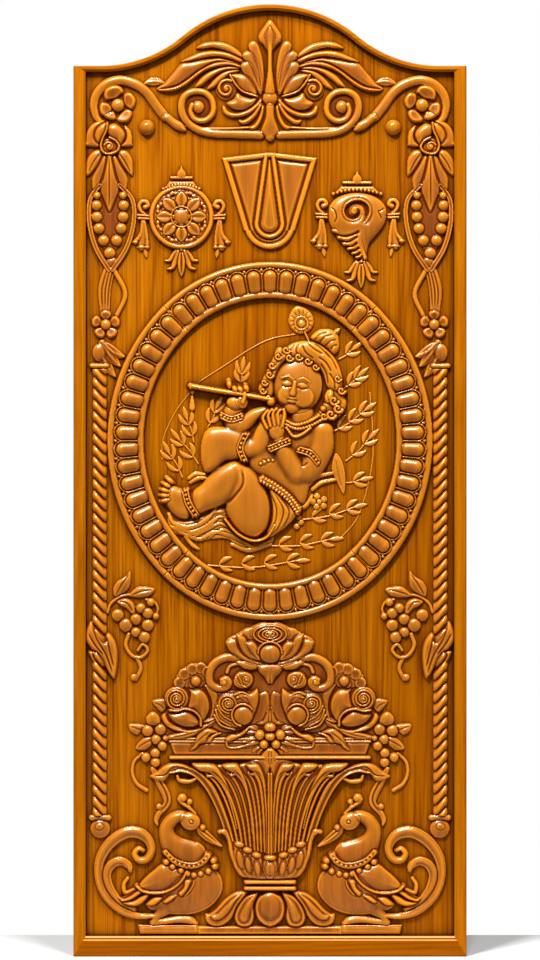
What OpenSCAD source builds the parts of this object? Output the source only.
// Carved wooden door in its own frame. The frame has an ogee head and a front stop, the leaf is glued up
// from upright boards, hangs on three butt hinges at the back and carries planted relief carving in front.
// The carved face looks along -Y, the sill stands on Z = 0.

/* [Door] */
// Overall width across the jambs
door_w = 882; // [876:1:900]
// Overall height from the sill to the crown
door_h = 2136; // [2126:1:2160]
// Depth of the frame from front to back
frame_d = 57; // [54:1:64]

/* [Ogee head] */
// Rise of the crown above the shoulders as a share of the height
head_share = 0.0646; // [0.063:0.0002:0.066]
// Length of the flat shoulders beside the curve
shoulder_flat = 61; // [58:1:64]
// Share of the hollow shoulder curves in the radius of the whole sweep
shoulder_share = 0.483; // [0.47:0.001:0.5]

/* [Frame] */
// Width of the jambs seen from the front
jamb_face = 27; // [26:0.5:30]
// Width of the head seen from the front
head_face = 13; // [12:0.5:15]
// Height of the sill seen from the front
sill_face = 45; // [43:1:48]
// Depth of the rebate in the jambs that takes the leaf
rebate = 8; // [7:0.5:9]
// Thickness of the stop in front of the leaf
stop_t = 16; // [15:0.5:18]
// Chamfer on the outer front edge
edge_chamfer = 3; // [2:0.5:4]
// Width of the bevel on the inner front edge
bevel = 5; // [4:0.5:6]

/* [Leaf] */
// Number of boards across the leaf
board_count = 6; // [6:1:6]
// Gap between the edge of the leaf and the rebate
leaf_gap = 2.5; // [2.2:0.1:3]
// Gap between the closed leaf and the stop
stop_gap = 0.8; // [0.5:0.1:0.9]

/* [Hinges] */
// Distance of the outer hinges from the ends of the leaf
hinge_end = 195; // [185:1:205]
// Height of a hinge
hinge_h = 100; // [96:1:108]
// Width of a hinge plate let into the wood
plate_w = 34; // [30:1:36]
// Thickness of a hinge plate
plate_t = 2.5; // [2:0.1:2.8]
// Radius of the knuckles
knuckle_r = 6; // [5.8:0.1:6.4]
// Radius of the hinge pin
pin_r = 3; // [2.8:0.1:3.2]
// Radius of the screw shanks
screw_r = 2; // [1.8:0.1:2.2]
// Depth of the screws in the jamb
frame_screw_l = 13; // [11:0.5:13]
// Depth of the screws in the leaf
leaf_screw_l = 28; // [24:1:32]

/* [Fixing] */
// Radius of the fixing holes through the jambs
fixing_r = 4.5; // [4:0.1:5]
// Height of the lower fixing hole
fixing_z = 560; // [540:5:600]
// Distance from the lower to the upper fixing hole
fixing_step = 900; // [860:5:940]

/* [Carving] */
// Height of the boldest carving above the leaf
relief_h = 26; // [24:0.5:27]
// Height of the ring as a share of the door's height
ring_share = 0.3764; // [0.374:0.0002:0.378]
// Room between the ring and the rope columns
ring_room = 1.75; // [1.5:0.25:3]
// Width of the ring's band with both mouldings
ring_band = 81; // [78:1:84]
// Radius of the two round mouldings of the ring
ring_tube = 7; // [6.5:0.5:7.5]
// Height of the foot of the ring's eggs above the leaf
ring_floor = 4; // [3:0.5:5]

/* [Hidden] */
half_w = door_w / 2;
head_rise = head_share * door_h;
shoulder_z = door_h - head_rise;
head_span = half_w - shoulder_flat;
head_turn = 2 * atan(head_rise / head_span);
sweep_r = head_span / sin(head_turn);
shoulder_r = shoulder_share * sweep_r;
crown_r = sweep_r - shoulder_r;
head_rebate = head_face * rebate / jamb_face;
sill_rebate = sill_face * rebate / jamb_face;
front_y = -frame_d / 2;
back_y = frame_d / 2;
leaf_front = front_y + stop_t + stop_gap;
leaf_t = back_y - leaf_front;
leaf_half = half_w - jamb_face + rebate - leaf_gap;
leaf_base = sill_face - sill_rebate + leaf_gap;
leaf_top_in = head_face - head_rebate + leaf_gap;
board_w = 2 * leaf_half / board_count;
hinge_x = -leaf_half - leaf_gap / 2;
hinge_y = back_y + knuckle_r + 0.5;
hinge_places = [leaf_base + hinge_end, (leaf_base + shoulder_z) / 2, shoulder_z - hinge_end];
knuckle_count = 5;
knuckle_h = hinge_h / knuckle_count;
knuckle_play = 0.5;
pin_play = 0.06;
screw_pitch = hinge_h * 0.36;
screw_rows = [-1, 0, 1];
screw_head_r = screw_r * 1.9;
screw_head_h = plate_t * 0.8;
plate_y = back_y - plate_w;
sheet_datum = [270, 955];
square_x = door_w / 392;
square_z = door_h / 949.4;
relief = relief_h / 26;
rope_x = (sheet_datum.x - 100) * square_x;
rope_half = 7 * square_x;
ring_w = 2 * (rope_x - rope_half - ring_room);
ring_h = ring_share * door_h;
ring_z = (sheet_datum.y - 441) * square_z;
ring_c = (ring_h - ring_w) / 2 / (2 - sqrt(2));
ring_egg = ring_band - 4 * ring_tube;
wood = [0.74, 0.46, 0.13];
dark_wood = [0.66, 0.40, 0.11];
pale_wood = [0.82, 0.54, 0.18];
brass = [0.80, 0.64, 0.32];
steel = [0.62, 0.62, 0.60];

// Frame: moulded lengths with a stop in front and a rebate behind

// Section of a frame length as [distance in from the outer edge, Y]
function frame_section(face, cut) = [
    [0, front_y + edge_chamfer],
    [edge_chamfer, front_y],
    [face - bevel, front_y],
    [face, front_y + bevel],
    [face, front_y + stop_t],
    [face - cut, front_y + stop_t],
    [face - cut, back_y],
    [0, back_y]
];

// Section of the sill, with a fine step above its flat face
function sill_section() = [
    [0, front_y + edge_chamfer],
    [edge_chamfer, front_y],
    [sill_face - 2 * bevel, front_y],
    [sill_face - 1.7 * bevel, front_y + 1.5],
    [sill_face - bevel, front_y + 1.5],
    [sill_face, front_y + bevel + 2],
    [sill_face, front_y + stop_t],
    [sill_face - sill_rebate, front_y + stop_t],
    [sill_face - sill_rebate, back_y],
    [0, back_y]
];

// Prism through the whole depth over an outline of [X, Z] points
module through(outline) {
    translate([0, back_y + 20, 0])
        rotate([90, 0, 0])
            linear_extrude(frame_d + 40)
                polygon(outline);
}

// Straight length that lies along X between two places, from a list of [Y, Z] points
module lying(section, from_x, to_x) {
    translate([from_x, 0, 0])
        rotate([90, 0, 90])
            linear_extrude(to_x - from_x)
                polygon(section);
}

// Curved length about an axis along Y, from a list of [radius, -Y] points
module curved(section, centre, start, turn) {
    translate([centre.x, 0, centre.y])
        rotate([90, 0, 0])
            rotate([0, 0, start])
                rotate_extrude(angle = turn, $fn = 180)
                    polygon(section);
}

// Bores across a jamb for its fixings
module fixing_holes() {
    for (step = [0, 1])
        translate([-half_w - 1, stop_t / 2, fixing_z + step * fixing_step])
            rotate([0, 90, 0])
                cylinder(r = fixing_r, h = jamb_face + 2, $fn = 48);
}

module jamb_length() {
    intersection() {
        translate([-half_w, 0, 0])
            linear_extrude(shoulder_z)
                polygon(frame_section(jamb_face, rebate));
        through([
            [-half_w, 0],
            [-half_w + jamb_face, sill_face],
            [-half_w + jamb_face, shoulder_z - head_face],
            [-half_w, shoulder_z]
        ]);
    }
}

module left_jamb() {
    color(wood)
        difference() {
            jamb_length();
            fixing_holes();
            hinge_recess(hinge_x - leaf_gap / 2 - plate_t);
            for (place = hinge_places)
                frame_screw_bores(place);
        }
}

module right_jamb() {
    color(wood)
        mirror([1, 0, 0])
            difference() {
                jamb_length();
                fixing_holes();
            }
}

module shoulder_length() {
    section = frame_section(head_face, head_rebate);
    intersection() {
        lying([for (p = section) [p[1], shoulder_z - p[0]]], -half_w, -head_span);
        through([
            [-half_w, shoulder_z],
            [-half_w + jamb_face, shoulder_z - head_face],
            [-head_span + 1, shoulder_z - head_face],
            [-head_span + 1, shoulder_z]
        ]);
    }
    curved([for (p = section) [shoulder_r + p[0], -p[1]]], [-head_span, shoulder_z + shoulder_r],
        270, head_turn);
}

module left_shoulder() {
    color(wood) shoulder_length();
}

module right_shoulder() {
    color(wood) mirror([1, 0, 0]) shoulder_length();
}

module crown() {
    section = frame_section(head_face, head_rebate);
    color(wood)
        curved([for (p = section) [crown_r - p[0], -p[1]]], [0, door_h - crown_r],
            90 - head_turn, 2 * head_turn);
}

module sill() {
    color(wood)
        intersection() {
            lying([for (p = sill_section()) [p[1], p[0]]], -half_w, half_w);
            through([
                [-half_w, 0],
                [half_w, 0],
                [half_w - jamb_face, sill_face],
                [-half_w + jamb_face, sill_face]
            ]);
        }
}

// Leaf: upright boards under the ogee line

// Drum about an axis along Y through the thickness of the leaf
module leaf_drum(centre, r) {
    translate([centre.x, back_y + 5, centre.y])
        rotate([90, 0, 0])
            cylinder(r = r, h = leaf_t + 10, $fn = 180);
}

// Slab as thick as the leaf over an outline of [X, Z] points
module leaf_slab(outline) {
    translate([0, back_y, 0])
        rotate([90, 0, 0])
            linear_extrude(leaf_t)
                polygon(outline);
}

module leaf_blank() {
    top = shoulder_z - leaf_top_in;
    r = crown_r - leaf_top_in;
    turn_x = r * sin(head_turn);
    turn_z = door_h - crown_r + r * cos(head_turn);
    difference() {
        leaf_slab([
            [-leaf_half, leaf_base],
            [leaf_half, leaf_base],
            [leaf_half, top],
            [head_span, top],
            [turn_x, turn_z],
            [-turn_x, turn_z],
            [-head_span, top],
            [-leaf_half, top]
        ]);
        for (side = [-1, 1])
            leaf_drum([side * head_span, shoulder_z + shoulder_r], shoulder_r + leaf_top_in);
    }
    intersection() {
        leaf_drum([0, door_h - crown_r], r);
        leaf_slab([[-turn_x, turn_z], [turn_x, turn_z], [turn_x, door_h], [-turn_x, door_h]]);
    }
}

module board(index) {
    from_x = -leaf_half + (index - 1) * board_w;
    intersection() {
        leaf_blank();
        translate([from_x, front_y, 0]) cube([board_w, frame_d + 10, door_h]);
    }
}

module board_1() {
    color(wood)
        difference() {
            board(1);
            hinge_recess(-leaf_half);
            for (place = hinge_places)
                leaf_screw_bores(place);
        }
}

module board_2() { color(pale_wood) board(2); }
module board_3() { color(dark_wood) board(3); }
module board_4() { color(wood) board(4); }
module board_5() { color(pale_wood) board(5); }
module board_6() { color(dark_wood) board(6); }

// Butt hinges at the back of the left edge

// Room for the hinge plates, from the given X inwards
module hinge_recess(from_x) {
    for (place = hinge_places)
        translate([from_x, plate_y, place - hinge_h / 2])
            cube([plate_t, plate_w + 10, hinge_h]);
}

// Countersunk screw along +X with its head's face at the origin
module screw_form(r, l) {
    rotate([0, 90, 0]) {
        cylinder(r1 = screw_head_r, r2 = r, h = screw_head_h, $fn = 36);
        cylinder(r = r, h = l, $fn = 36);
    }
}

// Screws of one plate: facing +1 into the leaf, -1 into the jamb
module plate_screws(place, face_x, facing, r, l) {
    for (row = screw_rows)
        translate([face_x, plate_y + plate_w * (row == 0 ? 0.34 : 0.55), place + row * screw_pitch])
            scale([facing, 1, 1])
                screw_form(r, l);
}

module frame_screw_bores(place) {
    plate_screws(place, hinge_x - leaf_gap / 2, -1, screw_r, frame_screw_l);
}

module leaf_screw_bores(place) {
    plate_screws(place, hinge_x + leaf_gap / 2, 1, screw_r, leaf_screw_l);
}

// One plate with its share of knuckles: parity 0 carries the end knuckles
module hinge_plate(place, facing, parity) {
    inner = hinge_x + facing * leaf_gap / 2;
    translate([0, 0, place])
        difference() {
            union() {
                translate([facing > 0 ? inner : inner - plate_t, plate_y, -hinge_h / 2])
                    cube([plate_t, plate_w, hinge_h]);
                for (k = [0:knuckle_count - 1])
                    if (k % 2 == parity)
                        translate([0, 0, -hinge_h / 2 + k * knuckle_h + knuckle_play / 2])
                            knuckle(inner, facing);
            }
            translate([hinge_x, hinge_y, -hinge_h])
                cylinder(r = pin_r + pin_play, h = 2 * hinge_h, $fn = 60);
            plate_screws(0, inner, facing, screw_r, leaf_screw_l);
        }
}

module knuckle(inner, facing) {
    h = knuckle_h - knuckle_play;
    translate([hinge_x, hinge_y, 0])
        cylinder(r = knuckle_r, h = h, $fn = 60);
    translate([facing > 0 ? inner : inner - plate_t, back_y - 1, 0])
        cube([plate_t, knuckle_r + 1, h]);
}

module hinge_pin(place) {
    translate([hinge_x, hinge_y, place - hinge_h / 2])
        cylinder(r = pin_r, h = hinge_h, $fn = 60);
    for (end = [-1, 1])
        translate([hinge_x, hinge_y, place + end * (hinge_h / 2 + 1.5)])
            cylinder(r = knuckle_r * 0.85, h = 3, center = true, $fn = 60);
}

module bottom_frame_plate() { color(brass) hinge_plate(hinge_places[0], -1, 0); }
module middle_frame_plate() { color(brass) hinge_plate(hinge_places[1], -1, 0); }
module top_frame_plate() { color(brass) hinge_plate(hinge_places[2], -1, 0); }
module bottom_leaf_plate() { color(brass) hinge_plate(hinge_places[0], 1, 1); }
module middle_leaf_plate() { color(brass) hinge_plate(hinge_places[1], 1, 1); }
module top_leaf_plate() { color(brass) hinge_plate(hinge_places[2], 1, 1); }
module bottom_pin() { color(steel) hinge_pin(hinge_places[0]); }
module middle_pin() { color(steel) hinge_pin(hinge_places[1]); }
module top_pin() { color(steel) hinge_pin(hinge_places[2]); }

module frame_screws() {
    color(brass)
        for (place = hinge_places)
            plate_screws(place, hinge_x - leaf_gap / 2, -1, screw_r, frame_screw_l);
}

module leaf_screws() {
    color(brass)
        for (place = hinge_places)
            plate_screws(place, hinge_x + leaf_gap / 2, 1, screw_r, leaf_screw_l);
}

// Carving: every motif is drawn on a squared sheet, X to the right and Y down, and planted on the leaf

// The sheet covers the whole door, and its datum point is the middle of the underside
module planted() {
    translate([0, leaf_front, 0])
        rotate([90, 0, 0])
            scale([square_x, -square_z, relief])
                translate([-sheet_datum.x, -sheet_datum.y, 0])
                    children();
}

// Draws the children and their mirror image about an upright line of the sheet
module both_sides(line) {
    children();
    translate([2 * line, 0, 0]) mirror([1, 0, 0]) children();
}

// Smallest convex lump of wood over some points
module lump(points) {
    hull()
        polyhedron(points, [[for (i = [0:len(points) - 1]) i]]);
}

// Six-sided ring of points at one height
function hexagon(p, rx, ry, h, turn) = [
    for (a = [0:60:300])
        [p.x + rx * cos(a) * cos(turn) - ry * sin(a) * sin(turn),
         p.y + rx * cos(a) * sin(turn) + ry * sin(a) * cos(turn), h]
];

// Rounded swelling with two radii
module dome(p, rx, ry, h, turn = 0) {
    lump(concat(
        hexagon(p, rx, ry, 0, turn),
        [for (a = [45:90:315])
            let (x = 0.75 * rx * cos(a), y = 0.75 * ry * sin(a))
            [p.x + x * cos(turn) - y * sin(turn), p.y + x * sin(turn) + y * cos(turn), h]]
    ));
}

// Fuller swelling for a head
module round_dome(p, rx, ry, h, turn = 0) {
    lump(concat(
        hexagon(p, rx, ry, 0, turn),
        hexagon(p, rx * 0.8, ry * 0.8, h * 0.7, turn),
        [[p.x, p.y, h]]
    ));
}

// Small bead with a flat crown
module bead(p, r, h) {
    lump(concat(
        hexagon(p, r, r, 0, 0),
        [for (a = [30:120:270]) [p.x + 0.5 * r * cos(a), p.y + 0.5 * r * sin(a), h]]
    ));
}

// Folded leaf from its foot a to its tip b, wide in the middle, bent to one side by a share of its length
module leaf(a, b, w, h, bend = 0) {
    d = b - a;
    n = [-d.y, d.x] / norm(d);
    m = a + 0.48 * d + n * bend * norm(d);
    l = m + n * w / 2;
    r = m - n * w / 2;
    lump([[a.x, a.y, 0], [a.x, a.y, h * 0.7], [l.x, l.y, 0], [r.x, r.y, 0], [m.x, m.y, h], [b.x, b.y, 0]]);
}

// Rounded limb along points of [x, y, width]
module limb(line, h) {
    last = len(line) - 1;
    for (i = [0:last - 1])
        lump(concat(across(line, i, h), across(line, i + 1, h)));
}

// Four points across a limb
function across(line, i, h) =
    let (
        d = line[min(i + 1, len(line) - 1)] - line[max(i - 1, 0)],
        n = [-d.y, d.x] / norm([d.x, d.y]),
        p = line[i],
        s = p.z / 2
    )
    [
        [p.x + n.x * s, p.y + n.y * s, 0],
        [p.x - n.x * s, p.y - n.y * s, 0],
        [p.x + n.x * s / 2, p.y + n.y * s / 2, h],
        [p.x - n.x * s / 2, p.y - n.y * s / 2, h]
    ];

// Ridged line from point to point, from one width to another
module stroke(points, w0, w1, h) {
    last = len(points) - 1;
    line = [for (i = [0:last]) [points[i].x, points[i].y, w0 + (w1 - w0) * i / last]];
    for (i = [0:last - 1])
        lump(concat(ridge(line, i, h), ridge(line, i + 1, h)));
}

// Three points across a ridged line
function ridge(line, i, h) =
    let (edge = across(line, i, h))
    [edge[0], edge[1], [line[i].x, line[i].y, h]];

// Points of a spiral that closes in on its centre
function spiral(c, r0, r1, a0, a1, steps) = [
    for (i = [0:steps])
        c + (r0 + (r1 - r0) * i / steps) * [cos(a0 + (a1 - a0) * i / steps), sin(a0 + (a1 - a0) * i / steps)]
];

// Open flower with five petals
module flower(p, r, h) {
    for (a = [18:72:306])
        bead(p + 0.62 * r * [cos(a), -sin(a)], r * 0.38, h * 0.75);
    bead(p, r * 0.36, h);
}

module crest_side() {
    leaf([266, 94], [252, 41], 10, 11, -0.06);
    leaf([265, 96], [245, 52], 9, 9, -0.1);
    leaf([263, 97], [241, 63], 8, 8, -0.12);
    dome([247, 85], 10, 6, 10, 35);
    dome([244, 101], 10, 6, 10, -15);
    stroke(spiral([226, 91], 9, 3, 60, -270, 5), 5, 3, 9);
    leaf([264, 101], [223, 112], 8, 8, 0.1);
    leaf([265, 103], [240, 123], 8, 9, 0.08);
    leaf([267, 105], [251, 131], 8, 9, 0.06);
    leaf([246, 66], [197, 48], 11, 10, 0.12);
    leaf([243, 68], [180, 62], 12, 11, 0.16);
    leaf([240, 72], [157, 91], 15, 12, 0.2);
    leaf([232, 77], [194, 88], 9, 9, 0.14);
    leaf([167, 84], [143, 82], 9, 8, 0.1);
    stroke([[262, 133], [234, 134], [207, 133], [187, 126], [180, 111], [187, 96], [203, 92], [214, 101],
        [213, 115], [202, 120], [194, 113], [199, 106]], 8, 4, 11);
    stroke([[184, 127], [164, 116], [151, 95], [139, 84], [120, 79], [103, 86], [94, 101], [97, 116]], 10, 6, 10);
    leaf([178, 126], [157, 108], 13, 12, 0.06);
}

module crest() {
    color(pale_wood)
        planted() {
            both_sides(sheet_datum.x) crest_side();
            stroke([[270, 96], [270, 74], [270, 52]], 7, 6, 9);
            leaf([270, 58], [270, 20], 21, 13);
            bead([270, 98], 8, 14);
            dome([270, 127], 9, 11, 12);
            leaf([270, 124], [270, 144], 12, 10);
        }
}

module studs() {
    stud_x = 123 * square_x;
    stud_z = (sheet_datum.y - 128) * square_z;
    color(pale_wood)
        for (side = [-1, 1])
            intersection() {
                translate([side * stud_x, leaf_front, stud_z])
                    sphere(r = 8 * square_x, $fn = 48);
                translate([-half_w, leaf_front - 40, 0]) cube([door_w, 40, door_h]);
            }
}

module garland_form() {
    flower([118, 106], 17.5, 11);
    dome([100, 133], 12, 10, 11, -15);
    dome([119, 132], 13, 10, 11, 15);
    leaf([106, 128], [88, 147], 10, 9, -0.1);
    leaf([112, 128], [132, 147], 10, 9, 0.1);
    bead([109, 146], 7, 12);
    leaf([103, 150], [88.5, 177], 11, 9, -0.04);
    leaf([116, 150], [133, 177], 11, 9, 0.14);
    leaf([105, 160], [93, 193], 9, 8, -0.06);
    leaf([114, 160], [127, 193], 10, 8, 0.1);
    leaf([110, 152], [110, 214], 19, 12);
    stroke([[101, 188], [91, 200], [90, 222], [96, 248], [108, 269]], 3.5, 5, 8);
    stroke([[119, 188], [133, 201], [135, 222], [126, 248], [112, 269]], 4, 5, 8);
    for (b = [[196, 13, 3.9], [206, 13, 4.8], [217, 13, 4.8], [228, 11, 5], [240, 6.5, 5]])
        both_sides(110) bead([110 - b[1], b[0]], b[2], 11);
    bead([110, 252], 5.8, 11);
    limb([[112, 264, 11], [105, 288, 13], [105, 311, 9]], 8);
    stroke([[114, 272], [125, 292], [117, 315]], 5, 4, 7);
    flower([106, 325], 14.7, 10);
    leaf([101, 343], [115, 376], 13, 9, 0.1);
    leaf([103, 342], [123, 357], 10, 8, 0.1);
    dome([99.5, 353], 7, 10, 11);
    stroke([[92, 367], [107.5, 367]], 6, 6, 10);
}

module left_garland() {
    color(pale_wood)
        planted() garland_form();
}

module right_garland() {
    color(pale_wood)
        mirror([1, 0, 0]) planted() garland_form();
}

// One strand of the rope, slanting across it and meeting its neighbours in upright faces
module strand(y, pitch) {
    lump([
        [93, y, 0],
        [93, y + pitch, 0],
        [107, y + 0.6 * pitch, 0],
        [107, y + 1.6 * pitch, 0],
        [93, y, 2],
        [93, y + pitch, 2],
        [107, y + 0.6 * pitch, 2],
        [107, y + 1.6 * pitch, 2],
        [97, y + 0.68 * pitch, 11],
        [103, y + 0.92 * pitch, 11]
    ]);
}

module rope_form() {
    strands = 34;
    top_y = 370.5;
    end_y = 813.5;
    pitch = (end_y - top_y) / (strands + 0.6);
    for (i = [0:strands - 1])
        strand(top_y + i * pitch, pitch);
    leaf([104, 654], [91, 619], 14, 15, -0.06);
    leaf([98, 646], [114, 681], 16, 14, -0.1);
    stroke([[91.5, 817], [109.5, 817]], 6, 6, 10);
    dome([100.5, 828], 10, 9, 12);
}

module left_rope() {
    color(wood)
        planted() rope_form();
}

module right_rope() {
    color(wood)
        mirror([1, 0, 0]) planted() rope_form();
}

// Tassel with its bow, beside an emblem
module tassel(x) {
    translate([x, 0, 0]) {
        bead([1, 204], 4.5, 7);
        stroke([[2, 206], [7, 211], [8, 217]], 4, 4, 6);
        dome([0, 216.5], 6, 4, 9);
        limb([[0, 219, 7], [-1, 235, 10], [-1, 252, 14]], 7);
        leaf([2, 250], [3, 260], 6, 5);
    }
}

// Five small leaves that hang under an emblem
module drop_leaves(p) {
    leaf(p, p + [0, 27], 7, 8);
    for (side = [-1, 1]) {
        leaf(p + [side, 0], p + [side * 13.5, 19], 6, 7, side * 0.12);
        leaf(p + [side * 2, -1], p + [side * 16, 11], 6, 6, side * 0.16);
    }
}

module wheel() {
    c = [181.4, 216.5];
    color(wood)
        planted() {
            translate([c.x, c.y, 0]) {
                difference() {
                    cylinder(r1 = 32, r2 = 30.5, h = 9, $fn = 12);
                    translate([0, 0, -1]) cylinder(r = 27.5, h = 20, $fn = 12);
                }
            }
            for (a = [0:45:315]) {
                leaf(c + 10 * [cos(a), sin(a)], c + 26 * [cos(a), sin(a)], 10, 10);
            }
            bead(c, 9.5, 14);
            stroke([[165, 186.5], [198, 186.5]], 6, 6, 9);
            stroke([[171, 180], [192, 180]], 6, 6, 8);
            leaf([181.4, 182], [181.4, 168], 9, 8);
            both_sides(c.x) tassel(143);
            drop_leaves([181.4, 249]);
        }
}

module conch() {
    c = [357, 216];
    color(wood)
        planted() {
            round_dome([358, 216], 29, 23, 14, 10);
            limb([[372, 214, 30], [371, 230, 26], [366, 246, 15], [361, 262, 5]], 14);
            stroke(spiral([355.6, 213], 17, 3, 200, 680, 7), 7, 4, 19);
            stroke([[334, 228], [344, 235], [360, 228]], 4, 5, 15);
            stroke([[339, 236], [349, 242], [359, 235]], 4, 5, 15);
            stroke([[346, 246], [352, 250], [359, 244]], 4, 5, 14);
            stroke([[335, 192], [379, 192]], 6, 6, 10);
            stroke([[342, 186], [372, 186]], 6, 6, 9);
            leaf([357, 184], [357, 169], 13, 8);
            both_sides(357.3) tassel(321);
            drop_leaves([360.5, 261]);
        }
}

// Outline of the shield drawn in by some squares: two upper corners, a low peak and a round foot
function shield_line(inset, h) = concat(
    [[222 + 1.1 * inset, 158.6 + inset, h], [269.5, 153 + inset, h], [317 - 1.1 * inset, 158.6 + inset, h]],
    [for (a = [16:37:164]) [269.5 + (25.5 - inset) * cos(a), 224 + (25.5 - inset) * sin(a), h]]
);

module shield() {
    color(wood)
        planted() {
            difference() {
                lump(concat(shield_line(0, 0), shield_line(0, 6), shield_line(2, 9)));
                lump(concat(shield_line(5, 5), shield_line(4, 12)));
            }
            stroke([[251, 161], [254, 195], [257, 222], [263, 233], [269.5, 236], [276, 233], [282, 222],
                [285, 195], [288, 161]], 4, 4, 9);
            limb([[269.5, 161, 3], [269.5, 190, 9], [269.5, 212, 16], [269.5, 224, 16], [269.5, 231, 6]], 9);
        }
}

// Ring: four arcs that make an oval, each with two round mouldings and a row of eggs

// Stilted round moulding as a section [radius, height]
module tube_section(r) {
    translate([r - ring_tube, 0]) square([2 * ring_tube, ring_tube]);
    translate([r, ring_tube]) circle(r = ring_tube, $fn = 48);
}

// Egg that lies across the band with its foot on the band's floor
module egg(r, w) {
    half = (ring_egg - 4) / 2 - w;
    intersection() {
        translate([r, 0, ring_floor]) {
            rotate([0, 90, 0]) cylinder(r = w, h = 2 * half, center = true, $fn = 36);
            for (end = [-half, half])
                translate([end, 0, 0]) sphere(r = w, $fn = 36);
        }
        translate([0, -w - 1, ring_floor - 1]) cube([2 * r, 2 * w + 2, 40]);
    }
}

// Quarter of the oval with its outer radius given, centred on the +X axis
module ring_quarter(outer_r, eggs) {
    step = 90 / eggs;
    rotate([0, 0, -45])
        rotate_extrude(angle = 90, $fn = 180) {
            tube_section(outer_r - ring_tube);
            tube_section(outer_r - ring_band + ring_tube);
            translate([outer_r - ring_band + ring_tube, 0]) square([ring_band - 2 * ring_tube, ring_floor]);
        }
    for (i = [0:eggs - 1])
        rotate([0, 0, -45 + (i + 0.5) * step])
            egg(outer_r - ring_band / 2, (outer_r - ring_band / 2) * PI / 180 * step * 0.36);
}

module ring_arc(turn, outer_r, shift, eggs) {
    color(wood)
        translate([0, leaf_front, ring_z])
            rotate([90, 0, 0])
                rotate([0, 0, turn])
                    translate([shift, 0, 0])
                        ring_quarter(outer_r, eggs);
}

module ring_top() { ring_arc(90, ring_h / 2 - ring_c, ring_c, 13); }
module ring_right() { ring_arc(0, ring_w / 2 + ring_c, -ring_c, 16); }
module ring_bottom() { ring_arc(270, ring_h / 2 - ring_c, ring_c, 13); }
module ring_left() { ring_arc(180, ring_w / 2 + ring_c, -ring_c, 16); }

// Spray of paired leaves along a stem from a to b
module spray(a, b, pairs, l, w) {
    d = b - a;
    u = d / norm(d);
    n = [-u.y, u.x];
    stroke([a, b], 1.6, 1.2, 3);
    leaf(b + u, b + u * l, w, 5);
    for (i = [1:pairs], side = [-1, 1])
        let (p = a + d * i / (pairs + 0.4))
            leaf(p + 1.3 * side * n, p + l * (0.75 * u + 0.6 * side * n), w, 4);
}

module child_body() {
    limb([[222, 462, 26], [238, 474, 30], [258, 484, 34]], 12);
    limb([[306, 424, 40], [302, 446, 44], [294, 474, 40], [280, 500, 46], [272, 522, 50]], 17);
    limb([[212, 438, 30], [222, 444, 32], [242, 447, 24]], 23);
    limb([[244, 447, 20], [258, 436, 18], [267, 417, 11]], 21);
    limb([[240, 472, 30], [249, 498, 45], [256, 520, 44], [262, 534, 22]], 25);
    limb([[240, 472, 30], [216, 486, 28], [192, 500, 19]], 23);
    limb([[191, 503, 18], [180, 501, 20], [171, 490, 15]], 17);
    for (i = [0:4])
        bead([165 + 2 * i, 492 - 4 * i + 3 * (i % 2)], 3, 15);
    limb([[320, 434, 24], [322, 452, 27], [310, 472, 24]], 22);
    limb([[312, 473, 24], [294, 460, 21], [281, 440, 17], [275, 424, 14]], 24);
    dome([275, 417], 9, 11, 25, 20);
    limb([[252, 428, 15], [242, 416, 15], [236, 404, 13]], 15);
    dome([237, 400], 9, 8, 19);
}

module child_head() {
    limb([[300, 408, 24], [300, 424, 26]], 16);
    round_dome([299, 388], 26, 29, 26, 8);
    round_dome([308, 374], 27, 24, 24, 20);
    for (p = [[276, 374], [270, 392], [338, 386]])
        bead(p, 6.5, 17);
    dome([335, 407], 9, 10, 18);
    dome([329, 397], 4, 7, 20);
    bead([323, 410], 3, 19);
    dome([326, 340], 12, 10, 16, -25);
    leaf([331, 338], [339, 328], 6, 12);
    dome([301, 322], 12, 12, 9);
    bead([301, 323], 4.5, 12);
    stroke([[304, 332], [307, 343]], 3, 3, 8);
}

module child_dress() {
    stroke([[286, 426], [300, 434], [316, 424]], 5, 5, 22);
    stroke([[266, 486], [284, 496], [300, 509]], 6, 6, 21);
    limb([[292, 502, 10], [284, 522, 12], [270, 538, 9]], 19);
    stroke([[170, 518], [190, 522], [214, 530], [240, 538]], 6, 7, 8);
    stroke([[176, 525], [204, 536], [228, 537], [262, 546], [286, 541]], 6, 6, 10);
    stroke([[196, 510], [214, 515], [232, 524]], 7, 8, 10);
    stroke([[190, 385], [230, 393], [276, 402]], 5, 5, 23);
    stroke([[192.5, 388], [192.5, 408]], 2.5, 5, 6);
}

module child_sprays() {
    spray([330, 440], [364, 412], 2, 12, 5);
    spray([344, 462], [370, 442], 1, 12, 6);
    spray([344, 487], [362, 481], 1, 10, 6);
    spray([308, 519], [360, 508], 2, 12, 6);
    spray([264, 545], [334, 538], 2, 13, 5);
    spray([206, 560], [296, 558], 3, 13, 5);
    spray([198, 456], [186, 416], 2, 12, 4);
    spray([182, 484], [172, 440], 2, 12, 4);
    leaf([340, 362], [358, 348], 5, 4);
    limb([[342, 452, 3], [340, 474, 11], [343, 494, 3]], 9);
    for (p = [[318, 498], [324, 492], [316, 506], [308, 514], [302, 522]])
        bead(p, 4, 9);
}

module flute_child() {
    color(pale_wood)
        planted() {
            child_body();
            child_head();
            child_dress();
            child_sprays();
        }
}

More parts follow.
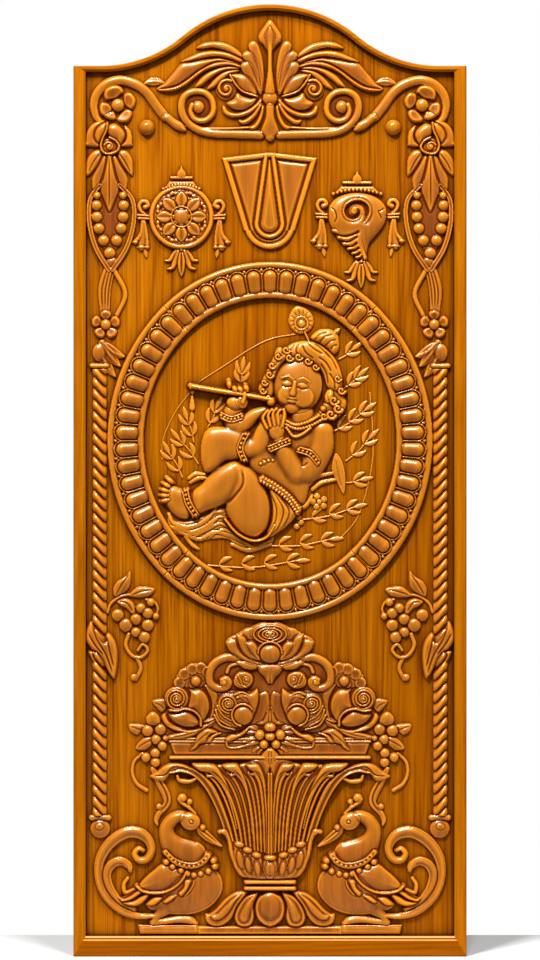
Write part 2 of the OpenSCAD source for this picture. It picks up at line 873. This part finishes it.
module grapes_form() {
    leaf([113, 597], [131, 571], 12, 7, -0.1);
    leaf([127, 596], [156, 590], 11, 7, 0.1);
    leaf([110, 612], [133, 603], 9, 7, 0.25);
    for (g = [[118, 616, 6.4], [127, 626, 6.8], [141, 608, 5], [148, 613, 5.4], [136, 619, 5.6], [148, 625, 6],
            [136, 632, 5], [144.5, 637, 5.8], [151, 602, 4.2], [156, 616, 3.6]])
        bead([g[0], g[1]], g[2], 10);
    stroke([[129, 634], [126, 645], [132, 655], [141, 657], [148, 650], [143, 644], [138, 650]], 4, 3, 7);
    stroke([[135, 656], [141, 668], [135, 679]], 4, 4, 6);
    bead([134, 677], 3.6, 8);
}

module left_grapes() {
    color(pale_wood)
        planted() grapes_form();
}

module right_grapes() {
    color(pale_wood)
        mirror([1, 0, 0]) planted() grapes_form();
}

module bouquet_side() {
    leaf([262, 658], [226, 642], 15, 13, 0.12);
    leaf([264, 654], [237, 634], 13, 14, 0.12);
    stroke([[252, 664], [235, 657], [217, 663], [207, 676], [213, 688], [225, 687], [225, 680]], 8, 5, 11);
    dome([246, 680], 10, 10, 12);
    bead([246, 680], 5, 16);
    for (a = [130:50:290])
        leaf([197, 681] + 6.5 * [cos(a), sin(a)], [197, 681] + 18 * [cos(a), sin(a)], 8, 8);
    bead([197, 681], 5.7, 12);
    dome([177, 700], 13, 12, 15);
    bead([177, 699], 7, 19);
    dome([200, 702], 11, 16, 16, 10);
    dome([187, 720], 16, 9, 14, 10);
    dome([229, 705], 13, 12, 16);
    bead([228.5, 704], 7, 20);
    dome([245, 713], 10, 12, 15);
    leaf([248, 710], [257, 690], 11, 13);
    leaf([240, 722], [208, 738], 14, 10, -0.1);
    for (g = [[153, 717, 7.3], [148, 730, 5.9], [161, 729, 5.9], [155, 739, 5.4], [163, 745, 5], [155, 751, 5],
            [146, 757, 4.8]])
        bead([g[0], g[1]], g[2], 11);
    leaf([146, 724], [134, 732], 8, 7);
    for (g = [[262, 735, 5.7], [264, 744, 4.5]])
        bead([g[0], g[1]], g[2], 15);
    stroke([[143, 762], [132, 771], [146, 786]], 5, 4, 7);
    limb([[153, 768, 6], [161, 785, 9], [166, 799, 7], [157, 811, 6], [155, 824, 4]], 7);
}

module bouquet() {
    color(pale_wood)
        planted() {
            both_sides(sheet_datum.x) bouquet_side();
            dome([270, 634], 19, 10.5, 16);
            bead([270, 634], 8, 20);
            dome([270, 654], 9, 9, 18);
            leaf([270, 656], [270, 686], 20, 15);
            leaf([270, 700], [270, 722], 14, 13);
            bead([270, 728], 5.2, 16);
            bead([270, 738], 4.5, 16);
            leaf([270, 742], [270, 757], 8, 13);
        }
}

module vase_side() {
    stroke([[174, 762], [188, 767], [206, 782], [222, 806], [233, 832]], 8, 9, 15);
    limb([[197, 767, 16], [222, 788, 15], [239, 815, 10], [249, 846, 5]], 18);
    limb([[222, 765, 17], [238, 790, 14], [249, 818, 9], [257, 848, 5]], 21);
    limb([[245, 764, 17], [254, 790, 13], [260, 820, 9], [264, 851, 5]], 23);
    leaf([244, 862], [220, 829], 13, 13, 0.1);
    leaf([250, 873], [229, 838], 12, 16, 0.1);
    leaf([256, 876], [242, 844], 12, 19, 0.06);
    leaf([262, 877], [256, 851], 11, 21);
    leaf([262, 892], [246, 922], 17, 15, -0.2);
    stroke([[258, 891], [240, 898], [226, 912], [210, 916]], 9, 7, 12);
    leaf([250, 896], [226, 921], 12, 12, -0.1);
}

module vase() {
    color(wood)
        planted() {
            both_sides(sheet_datum.x) vase_side();
            stroke([[170, 760.5], [270, 760.5], [370, 760.5]], 5, 5, 20);
            limb([[270, 764, 15], [270, 800, 13], [270, 830, 10], [270, 852, 6]], 24);
            leaf([270, 878], [270, 855], 13, 22);
            stroke([[243.5, 880.5], [296.5, 880.5]], 5, 5, 21);
            stroke([[243.5, 887], [296.5, 887]], 6, 6, 20);
            dome([270, 909], 12.4, 15, 20, 0);
            stroke([[204, 929], [270, 929], [336, 929]], 9, 9, 13);
        }
}

module swan_form() {
    limb([[152, 889, 12], [168, 892, 34], [190, 891, 46], [212, 884, 36], [221, 874, 14]], 18);
    limb([[200, 880, 26], [181, 857, 20], [168, 846, 15], [164, 829, 11], [173, 815, 11], [187, 817, 13]], 17);
    dome([191, 820], 10, 9, 19);
    leaf([197, 824], [218, 845], 9, 15, -0.06);
    bead([203, 826], 3, 18);
    stroke([[193, 812], [185, 804], [182, 797]], 4, 6, 10);
    stroke([[167, 853], [178, 864], [194, 867], [209, 857]], 6, 6, 22);
    leaf([190, 882], [140, 884], 14, 23, -0.12);
    leaf([188, 888], [124, 898], 13, 21, -0.1);
    leaf([186, 896], [132, 908], 11, 19, -0.08);
    leaf([196, 884], [152, 874], 12, 22, 0.1);
    leaf([176, 906], [154, 920], 8, 12);
    stroke([[166, 910], [178, 919], [196, 921]], 5, 5, 10);
    limb([[152, 915, 6], [120, 909, 10], [101, 885, 11], [98, 860, 11], [110, 839, 11], [131, 831, 11],
        [148, 838, 10], [153, 850, 9], [144, 859, 8], [137, 852, 6]], 12);
    stroke([[124, 899], [108, 883], [108, 867], [120, 859], [131, 865]], 6, 5, 10);
    stroke([[139, 928], [198, 928]], 9, 9, 11);
}

module left_swan() {
    color(wood)
        planted() swan_form();
}

module right_swan() {
    color(wood)
        mirror([1, 0, 0]) planted() swan_form();
}

left_jamb();
right_jamb();
left_shoulder();
right_shoulder();
crown();
sill();
board_1();
board_2();
board_3();
board_4();
board_5();
board_6();
bottom_frame_plate();
middle_frame_plate();
top_frame_plate();
bottom_leaf_plate();
middle_leaf_plate();
top_leaf_plate();
bottom_pin();
middle_pin();
top_pin();
frame_screws();
leaf_screws();
crest();
studs();
left_garland();
right_garland();
left_rope();
right_rope();
wheel();
conch();
shield();
ring_top();
ring_right();
ring_bottom();
ring_left();
flute_child();
left_grapes();
right_grapes();
bouquet();
vase();
left_swan();
right_swan();
